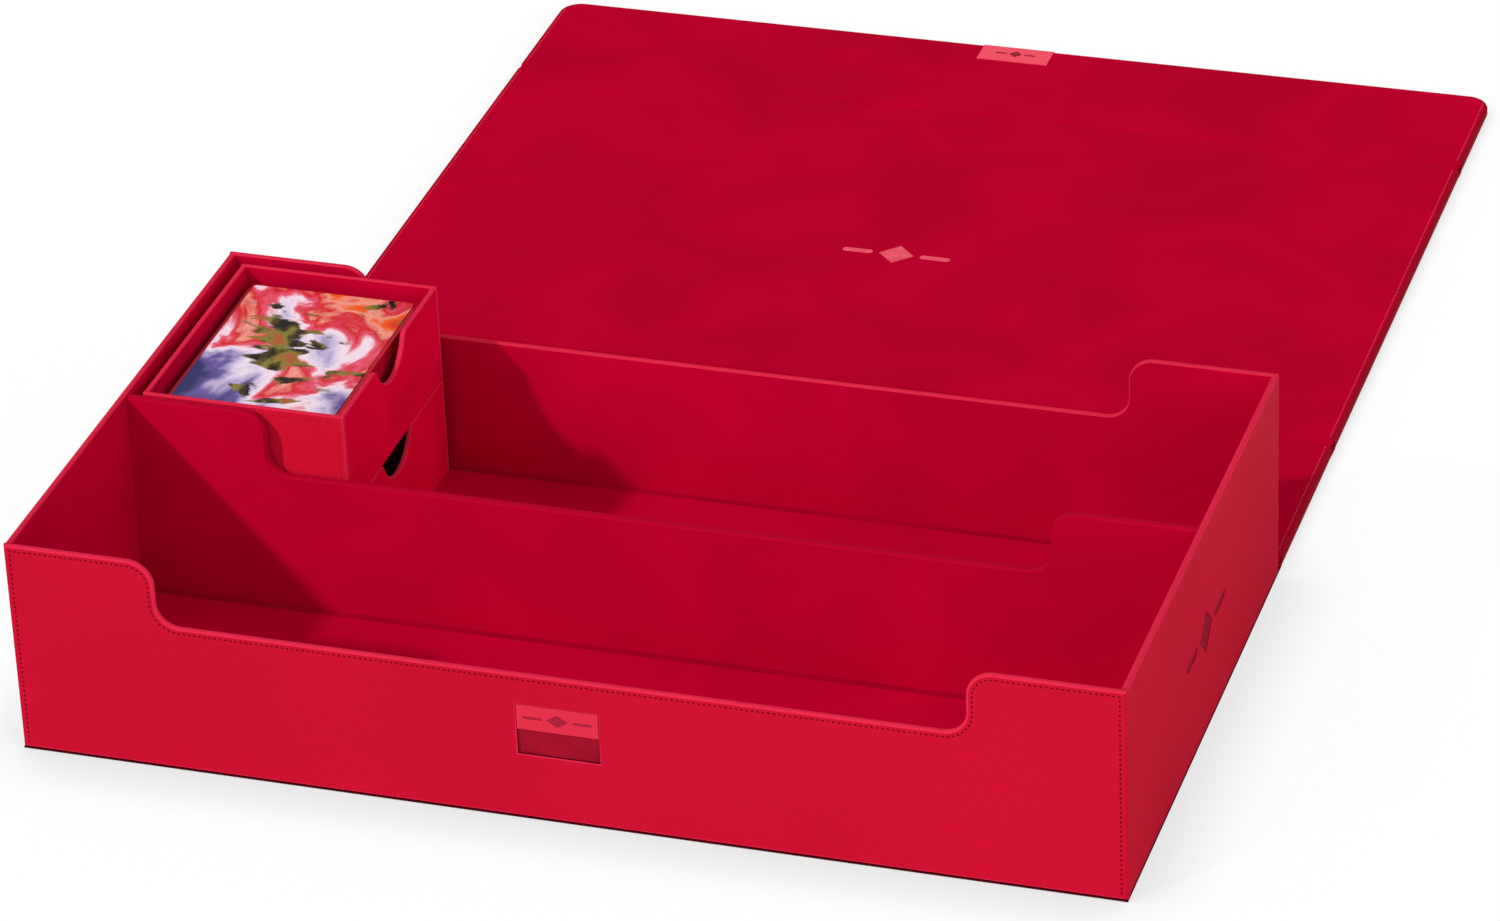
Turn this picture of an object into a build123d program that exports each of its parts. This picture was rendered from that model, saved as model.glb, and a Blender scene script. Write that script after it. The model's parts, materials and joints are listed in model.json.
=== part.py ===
from build123d import *
from math import hypot
import os

# Card deck box: an open two-row case with a three-panel folding lid, two
# stacked card trays in the rear row and a deck of sleeved cards in the upper
# tray. Millimetres, +Z up, +Y towards the lid. The origin is the centre of
# the case's underside. The lid lies open and flat behind the case.

# ---- Case: overall sizes -------------------------------------------------
CASE_W = 400.0          # outside width, X
HEADROOM = 1.6          # from the upper tray's rim to the case's top
SKIN = 0.6              # imitation leather
WALL_BOARD = 1.4        # greyboard inside a wall
LINING = 0.4            # microfibre on the inside
BASE_BOARD = 2.0        # greyboard under the floor
RIM = 0.6               # leather turned over a top edge

# ---- Scalloped top edge of the front, rear and divider walls --------------
DIP = 24.8              # how far the middle stretch is lowered
STEP_FROM_END = 55.0    # from the case's end to the upright part of the step
STEP_CREST_R = 9.5      # rounding at the top of the step
STEP_FOOT_R = 8.5       # rounding at the foot of the step

# ---- Divider ---------------------------------------------------------------
DIVIDER_BOARD = 3.4
DIVIDER_DROP = 1.0      # the divider stands this much below the outer walls

# ---- Front label, finger window and magnetic closure -----------------------
LABEL_W = 29.8
LABEL_H = 10.0
LABEL_DROP = 12.1       # from the lowered edge down to the label
WINDOW_H = 10.0
WINDOW_CUT = 0.8        # depth of the window's pocket in the board
WINDOW_PANEL = 0.3
MAGNET_R = 6.0
MAGNET_T = 1.5
PLATE_T = 0.8
MAGNET_X = 120.0
MAGNET_FROM_FOLD = 40.0

# ---- Emblems: a diamond between two bars ------------------------------------
SIDE_EMBLEM_W = 55.0
SIDE_EMBLEM_Z = 40.7    # height of its centre
SIDE_EMBLEM_T = 0.3
LID_EMBLEM_W = 44.0
LID_EMBLEM_T = 0.5
LID_EMBLEM_SINK = 0.4
LID_EMBLEM_OFF = 102.5  # from the top panel's crease to the emblem's centre
DIAMOND_SHARE = 0.32    # of the emblem's width, across the corners
BAR_LENGTH_SHARE = 0.28
BAR_WIDTH_SHARE = 0.065

# ---- Lid ---------------------------------------------------------------------
LID_BOARD = 3.0
LID_LINING = 0.6
LID_OVERHANG = 60.1     # length of the flap that hangs over the front wall
LID_CORNER_R = 9.0
LID_CLEAR = 0.4         # between the closed lid and the case
FOLD_CLEAR = 0.3        # between two panels, and between a panel and a web
TAB_W = 30.0
TAB_LEG = 13.3          # how far the pull tab reaches over the flap's edge

# ---- Card trays ----------------------------------------------------------------
TRAY_H = 38.9
TRAY_SKIN = 0.4
TRAY_BOARD = 1.2
TRAY_LINING = 0.4
TRAY_FLOOR = 1.4
TRAY_RIM = 0.4
TRAY_SIDE_GAP = 4.1     # from the case's left lining
TRAY_FRONT_GAP = 1.5    # from the divider's lining
TRAY_REAR_GAP = 3.2     # from the rear wall's lining
SEAT_GAP = 0.3          # under each tray and under the deck
NOTCH_R = 15.5          # thumb notch in the tray's right side
NOTCH_RISE = 4.0        # its centre stands this far above the tray's rim
NOTCH_EDGE_R = 2.5

# ---- Deck of cards -----------------------------------------------------------------
SLEEVE_W = 66.0
SLEEVE_D = 91.0
DECK_SIDE_GAP = 3.4     # from the deck to the tray's left and right lining
DECK_END_GAP = 2.9      # from the deck to the tray's end linings
DECK_DROP = 4.95        # from the tray's rim down to the top card
CARD_W = 63.0
CARD_D = 88.0
CARD_T = 0.35
CARD_CORNER_R = 3.0

# ---- Worked out from the sizes above --------------------------------------------------
TRAY_WALL = TRAY_SKIN + TRAY_BOARD + TRAY_LINING
TRAY_W = SLEEVE_W + 2 * (DECK_SIDE_GAP + TRAY_WALL)
TRAY_D = SLEEVE_D + 2 * (DECK_END_GAP + TRAY_WALL)

WALL = SKIN + WALL_BOARD + LINING
DIVIDER_HALF = DIVIDER_BOARD / 2 + LINING
HALF_W = CASE_W / 2
HALF_D = DIVIDER_HALF + TRAY_FRONT_GAP + TRAY_D + TRAY_REAR_GAP + WALL
IN_X = HALF_W - WALL
IN_Y = HALF_D - WALL
BOARD_X = HALF_W - SKIN
BOARD_Y = HALF_D - SKIN
STEP_X = HALF_W - STEP_FROM_END

WALL_Z = SKIN + BASE_BOARD
FLOOR_Z = WALL_Z + LINING
LOWER_Z = FLOOR_Z + SEAT_GAP
UPPER_Z = LOWER_Z + TRAY_H + SEAT_GAP
CASE_H = UPPER_Z + TRAY_H + HEADROOM
LOW_H = CASE_H - DIP
LABEL_TOP = LOW_H - LABEL_DROP
WINDOW_TOP = LABEL_TOP - LABEL_H
WINDOW_BOTTOM = WINDOW_TOP - WINDOW_H

LID_T = SKIN + LID_BOARD + LID_LINING
FOLD_Z = SKIN / 2
LID_INSIDE = LID_T - FOLD_Z
FOLD_1 = HALF_D + LID_CLEAR + LID_INSIDE
FOLD_2 = FOLD_1 + CASE_H + LID_CLEAR + LID_INSIDE - FOLD_Z
FOLD_3 = FOLD_2 + 2 * FOLD_1
LID_END = FOLD_3 + LID_OVERHANG
WEB_STOP = FOLD_Z + FOLD_CLEAR
PANEL_SET = hypot(WEB_STOP, FOLD_Z) + FOLD_CLEAR
PANEL_STOP = hypot(PANEL_SET, LID_INSIDE) + FOLD_CLEAR

TRAY_X0 = TRAY_SIDE_GAP - IN_X
TRAY_X1 = TRAY_X0 + TRAY_W
TRAY_Y0 = DIVIDER_HALF + TRAY_FRONT_GAP
TRAY_Y1 = TRAY_Y0 + TRAY_D
TRAY_CX = (TRAY_X0 + TRAY_X1) / 2
TRAY_CY = (TRAY_Y0 + TRAY_Y1) / 2
DECK_Z = UPPER_Z + TRAY_FLOOR + TRAY_LINING + SEAT_GAP
CARD_Z = UPPER_Z + TRAY_H - DECK_DROP - CARD_T
NEAR = 0.01


def block(x0, x1, y0, y1, z0, z1):
    """A box between two corners."""
    size = Box(x1 - x0, y1 - y0, z1 - z0)
    return Pos((x0 + x1) / 2, (y0 + y1) / 2, (z0 + z1) / 2) * size


def stand_up(sketch, y0, y1):
    """Extrude an XZ drawing (made in XY) between two places along Y."""
    return Pos(0, y1, 0) * (Plane.XZ * extrude(sketch, amount=y1 - y0))


def stand_side(sketch, x0, x1):
    """Extrude a YZ drawing (made in XY) between two places along X."""
    return Pos(x0, 0, 0) * (Plane.YZ * extrude(sketch, amount=x1 - x0))


def scallop(half, foot, high, low, inset):
    """A wall's outline: high at both ends, lowered between two soft steps."""
    top = high - inset
    dip = low - inset
    step = STEP_X + inset
    corners = [(-half, foot), (-half, top), (-step, top), (-step, dip)]
    mirrored = [(-x, z) for x, z in reversed(corners)]
    face = make_face(Polyline(*corners, *mirrored, close=True))
    crests = [v for v in face.vertices() if abs(abs(v.X) - step) < NEAR and v.Y > top - NEAR]
    face = fillet(crests, STEP_CREST_R - inset)
    feet = [v for v in face.vertices() if abs(abs(v.X) - step) < NEAR and abs(v.Y - dip) < NEAR]
    return fillet(feet, STEP_FOOT_R + inset)


def scallop_wall(half, y0, y1, drop=0.0, foot=WALL_Z):
    return stand_up(scallop(half, foot, CASE_H - drop, LOW_H - drop, RIM), y0, y1)


def scallop_rim(half, y0, y1, drop=0.0):
    whole = stand_up(scallop(half, WALL_Z, CASE_H - drop, LOW_H - drop, 0), y0, y1)
    return whole - scallop_wall(half, y0, y1, drop)


def emblem(width, thickness):
    """Three flat solids lying on Z = 0 and centred on the origin."""
    reach = width * DIAMOND_SHARE / 2
    diamond = Polyline((reach, 0), (0, reach), (-reach, 0), (0, -reach), close=True)
    solids = [extrude(make_face(diamond), amount=thickness)]
    bar_length = width * BAR_LENGTH_SHARE
    bar = extrude(SlotOverall(bar_length, width * BAR_WIDTH_SHARE), amount=thickness)
    offset_x = (width - bar_length) / 2
    for side in (-1, 1):
        solids.append(Pos(side * offset_x, 0, 0) * bar)
    return Compound(children=[solid.solid() for solid in solids])


def side_emblem(thickness, x0):
    """The emblem on the right wall, its back on the plane X = x0."""
    return Pos(x0, 0, SIDE_EMBLEM_Z) * (Plane.YZ * emblem(SIDE_EMBLEM_W, thickness))


def discs(radius, thickness, place):
    """The same disc at both ends of the closure."""
    disc = Cylinder(radius, thickness)
    left = Pos(-MAGNET_X, 0, 0) * place * disc
    right = Pos(MAGNET_X, 0, 0) * place * disc
    return Compound(children=[left.solid(), right.solid()])


def pair(first, second):
    return Compound(children=[first.solid(), second.solid()])


# ---- Base ---------------------------------------------------------------------
def base_parts():
    skin = block(-HALF_W, HALF_W, -HALF_D, FOLD_1 - WEB_STOP, 0, SKIN)
    board = block(-BOARD_X, BOARD_X, -BOARD_Y, BOARD_Y, SKIN, WALL_Z)
    front = block(-IN_X, IN_X, -IN_Y, -DIVIDER_HALF, WALL_Z, FLOOR_Z)
    rear = block(-IN_X, IN_X, DIVIDER_HALF, IN_Y, WALL_Z, FLOOR_Z)
    return {"base_skin": skin, "base_board": board, "floor_linings": pair(front, rear)}


# ---- Outer walls --------------------------------------------------------------
def front_wall():
    half = LABEL_W / 2
    face_y = -HALF_D
    board_y = -BOARD_Y
    opening = block(-half, half, face_y, board_y, WINDOW_BOTTOM, LABEL_TOP)
    pocket = block(-half, half, board_y, board_y + WINDOW_CUT, WINDOW_BOTTOM, WINDOW_TOP)
    plate_z = FOLD_Z + (FOLD_2 - FOLD_1) - MAGNET_FROM_FOLD
    plates = discs(MAGNET_R, PLATE_T, Pos(0, board_y + PLATE_T / 2, plate_z) * Rot(90, 0, 0))
    back_y = board_y + WINDOW_CUT - WINDOW_PANEL
    return {
        "front_skin": scallop_wall(HALF_W, face_y, board_y, foot=SKIN) - opening,
        "front_board": scallop_wall(BOARD_X, board_y, board_y + WALL_BOARD) - pocket - plates,
        "front_lining": scallop_wall(IN_X, -IN_Y - LINING, -IN_Y),
        "front_rim": scallop_rim(HALF_W, face_y, -IN_Y),
        "front_label": block(-half, half, face_y, board_y, WINDOW_TOP, LABEL_TOP),
        "window_panel": block(-half, half, back_y, back_y + WINDOW_PANEL, WINDOW_BOTTOM, WINDOW_TOP),
        "steel_plates": plates,
    }


def rear_wall():
    return {
        "rear_skin": scallop_wall(HALF_W, BOARD_Y, HALF_D, foot=SKIN),
        "rear_board": scallop_wall(BOARD_X, BOARD_Y - WALL_BOARD, BOARD_Y),
        "rear_lining": scallop_wall(IN_X, IN_Y, IN_Y + LINING),
        "rear_rim": scallop_rim(HALF_W, IN_Y, HALF_D),
    }


def end_wall(side):
    """The left (-1) or right (+1) wall, as skin, board, two linings and rim."""
    top = CASE_H - RIM

    def slab(near_x, far_x, reach, foot, head):
        low_x, high_x = sorted((side * near_x, side * far_x))
        return block(low_x, high_x, -reach, reach, foot, head)

    def lining(y0, y1):
        low_x, high_x = sorted((side * IN_X, side * (IN_X + LINING)))
        return block(low_x, high_x, y0, y1, WALL_Z, top)

    board_reach = BOARD_Y - WALL_BOARD
    skin = slab(BOARD_X, HALF_W, BOARD_Y, SKIN, top)
    board = slab(BOARD_X - WALL_BOARD, BOARD_X, board_reach, WALL_Z, top)
    whole_lining = lining(-board_reach, board_reach)
    rim = slab(IN_X, HALF_W, IN_Y, top, CASE_H)
    return skin, board, whole_lining, rim


def end_walls():
    parts = {}
    for name, side in (("left", -1), ("right", 1)):
        skin, board, lining, rim = end_wall(side)
        parts[name + "_skin"] = skin
        parts[name + "_board"] = board
        parts[name + "_lining"] = lining
        parts[name + "_rim"] = rim
    parts["right_skin"] = parts["right_skin"] - side_emblem(SKIN, BOARD_X)
    parts["side_emblem"] = side_emblem(SIDE_EMBLEM_T, BOARD_X)
    return parts


def divider():
    half = DIVIDER_BOARD / 2
    return {
        "divider_board": scallop_wall(IN_X, -half, half, DIVIDER_DROP),
        "divider_front_lining": scallop_wall(IN_X, -DIVIDER_HALF, -half, DIVIDER_DROP),
        "divider_rear_lining": scallop_wall(IN_X, half, DIVIDER_HALF, DIVIDER_DROP),
        "divider_rim": scallop_rim(IN_X, -DIVIDER_HALF, DIVIDER_HALF, DIVIDER_DROP),
    }


# ---- Lid ----------------------------------------------------------------------
def lid_panel(start, stop, rounded=False):
    """Skin, board and lining of a panel between its fold and its far end."""
    board_start = start + PANEL_SET
    far_skin = 0.0
    if rounded:
        far_skin = SKIN

    def plate(edge, y0, y1, z0, z1, corner):
        solid = block(-edge, edge, y0, y1, z0, z1)
        if rounded:
            posts = solid.edges().filter_by(Axis.Z).group_by(Axis.Y)[-1]
            solid = fillet(posts, corner)
        return solid

    inner_r = LID_CORNER_R - SKIN
    cavity = plate(HALF_W - SKIN, board_start, stop - far_skin, SKIN, LID_T, inner_r)
    wrap = plate(HALF_W, board_start, stop, SKIN, LID_T, LID_CORNER_R) - cavity
    board = plate(HALF_W - SKIN, board_start, stop - far_skin, SKIN, SKIN + LID_BOARD, inner_r)
    return wrap, board, cavity - board, plate


def lid_back():
    stop = FOLD_2 - PANEL_STOP
    wrap, board, lining, plate = lid_panel(FOLD_1, stop)
    skin = plate(HALF_W, FOLD_1, FOLD_2 - WEB_STOP, 0, SKIN, 0) + wrap
    return {"lid_back_skin": skin, "lid_back_board": board, "lid_back_lining": lining}


def lid_top():
    stop = FOLD_3 - PANEL_STOP
    wrap, board, lining, plate = lid_panel(FOLD_2, stop)
    skin = plate(HALF_W, FOLD_2, FOLD_3 - WEB_STOP, 0, SKIN, 0) + wrap
    place = Pos(0, FOLD_2 + LID_EMBLEM_OFF, LID_T - LID_EMBLEM_SINK)
    mark = place * emblem(LID_EMBLEM_W, LID_EMBLEM_T)
    return {
        "lid_top_skin": skin,
        "lid_top_board": board,
        "lid_top_lining": lining - mark,
        "lid_emblem": mark,
    }


def flap_tab():
    """A woven strip folded over the flap's edge."""
    half = TAB_W / 2
    outer = block(-half, half, LID_END - TAB_LEG, LID_END, 0, LID_T)
    inner = block(-half, half, LID_END - TAB_LEG, LID_END - SKIN, SKIN, SKIN + LID_BOARD)
    return outer - inner


def lid_flap():
    wrap, board, lining, plate = lid_panel(FOLD_3, LID_END, rounded=True)
    tab = flap_tab()
    skin = plate(HALF_W, FOLD_3, LID_END, 0, SKIN, LID_CORNER_R) + wrap
    magnet_y = FOLD_3 + MAGNET_FROM_FOLD
    magnet_z = SKIN + LID_BOARD - MAGNET_T / 2
    magnets = discs(MAGNET_R, MAGNET_T, Pos(0, magnet_y, magnet_z))
    return {
        "flap_skin": skin - tab,
        "flap_board": board - magnets,
        "flap_lining": lining - tab,
        "flap_tab": tab,
        "flap_magnets": magnets,
    }


# ---- Card trays ------------------------------------------------------------------
def notched_side(y0, y1, foot, top, inset):
    """The right wall's outline in YZ, with its thumb notch."""
    head = top - inset
    width = y1 - y0
    slab = Pos((y0 + y1) / 2, (foot + head) / 2) * Rectangle(width, head - foot)
    notch = Pos(TRAY_CY, top + NOTCH_RISE) * Circle(NOTCH_R + inset)
    face = (slab - notch).face()
    lips = [v for v in face.vertices() if v.Y > head - NEAR and y0 + NEAR < v.X < y1 - NEAR]
    return fillet(lips, NOTCH_EDGE_R - inset)


def tray(name, foot):
    """One tray's pieces, standing on Z = foot."""
    top = foot + TRAY_H
    head = top - TRAY_RIM

    def wall_ring(outer, inner, z0, z1):
        shell = block(TRAY_X0 + outer, TRAY_X1 - outer, TRAY_Y0 + outer, TRAY_Y1 - outer, z0, z1)
        hole = block(TRAY_X0 + inner, TRAY_X1 - inner, TRAY_Y0 + inner, TRAY_Y1 - inner, z0, z1)
        return shell - hole

    def cutter(inset):
        upper = stand_side(notched_side(TRAY_Y0, TRAY_Y1, foot, top, inset), TRAY_CX, TRAY_X1)
        block_all = block(TRAY_CX, TRAY_X1, TRAY_Y0, TRAY_Y1, foot, top - inset)
        return block_all - upper

    board_in = TRAY_SKIN + TRAY_BOARD
    notch = cutter(TRAY_RIM)
    floor_top = foot + TRAY_FLOOR
    x0 = TRAY_X0 + TRAY_SKIN
    x1 = TRAY_X1 - TRAY_SKIN
    y0 = TRAY_Y0 + TRAY_SKIN
    y1 = TRAY_Y1 - TRAY_SKIN
    front = block(x0, x1, y0, y0 + TRAY_BOARD, floor_top, head)
    rear = block(x0, x1, y1 - TRAY_BOARD, y1, floor_top, head)
    side_y0 = y0 + TRAY_BOARD
    side_y1 = y1 - TRAY_BOARD
    left = block(x0, x0 + TRAY_BOARD, side_y0, side_y1, floor_top, head)
    right = block(x1 - TRAY_BOARD, x1, side_y0, side_y1, floor_top, head)
    lining_base = block(
        TRAY_X0 + board_in, TRAY_X1 - board_in, TRAY_Y0 + board_in, TRAY_Y1 - board_in,
        floor_top, floor_top + TRAY_LINING)
    whole_rim = wall_ring(0, TRAY_WALL, floor_top, top) - cutter(0)
    return {
        name + "_floor": block(x0, x1, y0, y1, foot, floor_top),
        name + "_ends": pair(front, rear),
        name + "_left_side": left,
        name + "_right_side": right - notch,
        name + "_skin": wall_ring(0, TRAY_SKIN, foot, head) - notch,
        name + "_lining": wall_ring(board_in, TRAY_WALL, floor_top, head) - notch + lining_base,
        name + "_rim": whole_rim - (wall_ring(0, TRAY_WALL, floor_top, head) - notch),
    }


# ---- Deck of cards -----------------------------------------------------------------
def deck():
    stack = block(
        TRAY_CX - SLEEVE_W / 2, TRAY_CX + SLEEVE_W / 2,
        TRAY_CY - SLEEVE_D / 2, TRAY_CY + SLEEVE_D / 2, DECK_Z, CARD_Z)
    outline = RectangleRounded(CARD_W, CARD_D, CARD_CORNER_R)
    card = Pos(TRAY_CX, TRAY_CY, CARD_Z) * extrude(outline, amount=CARD_T)
    return {"sleeved_cards": stack, "top_card": card}


def all_parts():
    parts = {}
    for group in (base_parts(), front_wall(), rear_wall(), end_walls(), divider()):
        parts.update(group)
    for group in (lid_back(), lid_top(), lid_flap()):
        parts.update(group)
    parts.update(tray("lower_tray", LOWER_Z))
    parts.update(tray("upper_tray", UPPER_Z))
    parts.update(deck())
    return parts


os.makedirs("parts", exist_ok=True)
for node, shape in all_parts().items():
    export_step(shape, "parts/" + node + ".step")
    print(node, round(shape.volume, 1))
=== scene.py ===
# %% [markdown]
# # A covered card box, piece by piece
#
# This lesson dresses a card storage box: an open case of two rows, a lid of three
# panels that lies open behind it, two stacked card trays and a deck of sleeved cards.
# The boards under the covering come from a CAD model, which is loaded first and is
# never moved. Everything made here takes its place from that model's own boxes, so
# nothing has to be fitted by eye.

# %% Load the frame
import json
import math
import random

import bmesh
import bpy
from mathutils import Matrix, Vector


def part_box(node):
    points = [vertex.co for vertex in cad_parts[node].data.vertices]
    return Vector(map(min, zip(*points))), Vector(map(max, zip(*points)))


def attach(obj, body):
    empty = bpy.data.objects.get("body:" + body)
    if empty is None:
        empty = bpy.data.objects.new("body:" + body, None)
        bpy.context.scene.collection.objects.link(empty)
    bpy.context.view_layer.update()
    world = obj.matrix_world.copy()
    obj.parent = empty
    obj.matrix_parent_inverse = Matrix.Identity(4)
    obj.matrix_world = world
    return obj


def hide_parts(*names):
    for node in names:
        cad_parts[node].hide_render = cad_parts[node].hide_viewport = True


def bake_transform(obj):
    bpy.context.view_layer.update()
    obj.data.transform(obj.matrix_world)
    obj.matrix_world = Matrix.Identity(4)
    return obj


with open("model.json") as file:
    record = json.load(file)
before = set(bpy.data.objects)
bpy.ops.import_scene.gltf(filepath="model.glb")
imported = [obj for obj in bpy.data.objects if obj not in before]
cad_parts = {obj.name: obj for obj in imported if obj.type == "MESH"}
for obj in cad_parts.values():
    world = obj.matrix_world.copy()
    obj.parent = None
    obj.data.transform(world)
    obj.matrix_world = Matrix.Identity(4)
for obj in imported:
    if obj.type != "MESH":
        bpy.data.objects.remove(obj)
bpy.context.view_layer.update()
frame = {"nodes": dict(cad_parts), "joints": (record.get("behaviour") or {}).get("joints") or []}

MM = 0.001


def add_object(name, data):
    """Puts a mesh, a light or a camera into the scene."""
    thing = bpy.data.objects.new(name, data)
    bpy.context.scene.collection.objects.link(thing)
    return thing


# %% [markdown]
# ## Camera
#
# A flat box looks calmest from far away through a long lens, which keeps its edges
# almost parallel. The camera stands in front of the box, to its right, and looks down
# at it. Its right and up directions are written down as unit vectors, and the third is
# their cross product, so the camera can't roll by accident as three angles can make it.

# %% Camera
CAMERA_PLACE = Vector((0.6668, -1.8963, 1.2447))
CAMERA_RIGHT = Vector((0.95479, 0.29505, -0.03645))
CAMERA_UP = Vector((-0.11799, 0.48861, 0.86449))
LENS_MM = 158.8
SENSOR_MM = 36.0
FAR_END = 20.0

camera_data = bpy.data.cameras.new("camera")
camera_data.lens = LENS_MM
camera_data.sensor_width = SENSOR_MM
camera_data.clip_end = FAR_END
camera = add_object("camera", camera_data)
facing = Matrix((CAMERA_RIGHT, CAMERA_UP, CAMERA_RIGHT.cross(CAMERA_UP))).transposed()
camera.matrix_world = Matrix.Translation(CAMERA_PLACE) @ facing.to_4x4()
bpy.context.scene.camera = camera
print("camera:", LENS_MM, "mm lens,", round(CAMERA_PLACE.length, 2), "m from the box")

# %% [markdown]
# ## Light
#
# The key light is a sun low at the front left. Its small angle keeps the shadow of the
# left wall readable on the divider and still a little soft at its far end. Two very
# broad suns fill the shadows from the right and the front, as white panels in a studio
# do. The picture is shown with the plain Standard view, because a filmic one would
# wash out a red as deep as this.

# %% Light
# Name, direction, strength and angle in degrees of each sun.
SUNS = (("key_sun", (0.84, 1.0, -0.914), 1.85, 3.0),
        ("fill_sun", (-0.9, 0.35, -0.25), 1.4, 70.0),
        ("front_sun", (0.2, 1.0, -0.7), 0.35, 60.0))

for name, direction, strength, angle_deg in SUNS:
    sun_data = bpy.data.lights.new(name, "SUN")
    sun_data.energy = strength
    sun_data.angle = math.radians(angle_deg)
    lamp = add_object(name, sun_data)
    lamp.rotation_mode = "QUATERNION"
    lamp.rotation_quaternion = Vector(direction).to_track_quat("-Z", "Y")

view = bpy.context.scene.view_settings
view.view_transform = "Standard"

# %% [markdown]
# ## A small kit for materials
#
# Every finish is built from nodes. To keep each recipe short, one helper adds a node
# and sets its sockets: a plain number or colour is set on the socket, and an output of
# another node is linked to it. All patterns read Object coordinates, in metres, so a
# scale of 1000 means a detail of about one millimetre on any piece.

# %% Material helpers
def add(tree, kind, values=None, **settings):
    """Adds a node; a value that is another node's output is linked."""
    node = tree.nodes.new(kind)
    for key, value in settings.items():
        setattr(node, key, value)
    for key, value in (values or {}).items():
        socket = node.inputs[key]
        if isinstance(value, bpy.types.NodeSocket):
            tree.links.new(value, socket)
        else:
            socket.default_value = value
    return node


def ramp(tree, factor, stops):
    """A colour ramp with the given (position, colour) stops."""
    node = add(tree, "ShaderNodeValToRGB", {"Fac": factor})
    while len(node.color_ramp.elements) < len(stops):
        node.color_ramp.elements.new(0.5)
    for element, (position, colour) in zip(node.color_ramp.elements, stops):
        element.position = position
        element.color = (*colour, 1.0)
    return node.outputs["Color"]


def tint(colour, factor):
    return tuple(min(1.0, c * factor) for c in colour)


def new_material(name):
    """An empty material, its tree and the place of each point of a piece."""
    material = bpy.data.materials.new(name)
    material.use_nodes = True
    tree = material.node_tree
    tree.nodes.clear()
    place = add(tree, "ShaderNodeTexCoord").outputs["Object"]
    return material, tree, place


def close_material(tree, shader):
    output = add(tree, "ShaderNodeOutputMaterial")
    tree.links.new(shader.outputs[0], output.inputs["Surface"])


def close_principled(tree, colour, roughness, specular, normal, more=None):
    """Ends a material with the all-round surface shader."""
    values = {"Base Color": colour, "Roughness": roughness, "Specular IOR Level": specular,
              "Normal": normal, **(more or {})}
    close_material(tree, add(tree, "ShaderNodeBsdfPrincipled", values))


def numbers(tree, operation, *values):
    """One step of arithmetic with numbers."""
    return add(tree, "ShaderNodeMath", dict(enumerate(values)), operation=operation).outputs[0]


def vectors(tree, operation, *values):
    """One step of arithmetic with vectors."""
    values = dict(enumerate(values))
    return add(tree, "ShaderNodeVectorMath", values, operation=operation).outputs[0]


def mix_colours(tree, share, first, second, blend_type="MIX"):
    values = {"Factor": share, 6: first, 7: second}
    return add(tree, "ShaderNodeMix", values, data_type="RGBA", blend_type=blend_type).outputs[2]


def map_range(tree, value, from_min, from_max, to_min=0.0, to_max=1.0):
    values = {"Value": value, "From Min": from_min, "From Max": from_max,
              "To Min": to_min, "To Max": to_max}
    return add(tree, "ShaderNodeMapRange", values).outputs[0]


def noise(tree, place, scale, detail=3.0, distortion=0.0):
    values = {"Vector": place, "Scale": scale, "Detail": detail, "Distortion": distortion}
    return add(tree, "ShaderNodeTexNoise", values).outputs["Fac"]


def blend_numbers(tree, first, second, share):
    """A weighted sum of two patterns."""
    return numbers(tree, "ADD", first, numbers(tree, "MULTIPLY", second, share))


def bump(tree, height, depth, strength=1.0):
    values = {"Height": height, "Distance": depth, "Strength": strength}
    return add(tree, "ShaderNodeBump", values).outputs["Normal"]


print("material helpers ready")

# %% [markdown]
# ## Floor
#
# The floor is plain white card. For a camera ray it is mostly glow, which lifts it to
# white and keeps a pale shadow. The glow fades where the box hides the floor from above,
# so a soft grey line of contact grounds the box. For every other ray it is card alone,
# which throws soft light back on to the walls. It lies a hair below the box.

# %% Floor and world
FLOOR_GLOW = 0.95
FLOOR_HALF = 6.0
CONTACT_REACH = 0.035
CONTACT_SHADE = 0.78
FLOOR_DROP = 0.25 * MM
WORLD_STRENGTH = 0.48


def paper_floor():
    material, tree, place = new_material("white_card_floor")
    soft = noise(tree, place, 3.0)
    colour = ramp(tree, soft, [(0.0, (0.93, 0.93, 0.93)), (1.0, (0.96, 0.96, 0.96))])
    card = add(tree, "ShaderNodeBsdfDiffuse", {"Color": colour})
    hidden = add(tree, "ShaderNodeAmbientOcclusion", {"Distance": CONTACT_REACH}).outputs["AO"]
    contact = map_range(tree, hidden, 0.45, 0.97, CONTACT_SHADE)
    glow = add(tree, "ShaderNodeEmission", {"Color": (1, 1, 1, 1), "Strength": contact})
    path = add(tree, "ShaderNodeLightPath")
    seen = numbers(tree, "MULTIPLY", path.outputs["Is Camera Ray"], FLOOR_GLOW)
    mixed = add(tree, "ShaderNodeMixShader", {0: seen, 1: card.outputs[0], 2: glow.outputs[0]})
    close_material(tree, mixed)
    return material


def white_world():
    world = bpy.data.worlds.new("studio")
    bpy.context.scene.world = world
    world.use_nodes = True
    tree = world.node_tree
    tree.nodes.clear()
    path = add(tree, "ShaderNodeLightPath").outputs
    seen = numbers(tree, "MAXIMUM", path["Is Camera Ray"], path["Is Transmission Ray"])
    strength = map_range(tree, seen, 0.0, 1.0, WORLD_STRENGTH)
    light = add(tree, "ShaderNodeBackground", {"Color": (1, 1, 1, 1), "Strength": strength})
    output = add(tree, "ShaderNodeOutputWorld")
    tree.links.new(light.outputs[0], output.inputs["Surface"])


floor_bm = bmesh.new()
bmesh.ops.create_grid(floor_bm, x_segments=1, y_segments=1, size=FLOOR_HALF)
floor_mesh = bpy.data.meshes.new("floor")
floor_bm.to_mesh(floor_mesh)
floor_bm.free()
floor = add_object("floor", floor_mesh)
floor.location.z = -FLOOR_DROP
floor_mesh.materials.append(paper_floor())
white_world()
print("floor:", 2 * FLOOR_HALF, "m square")

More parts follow.
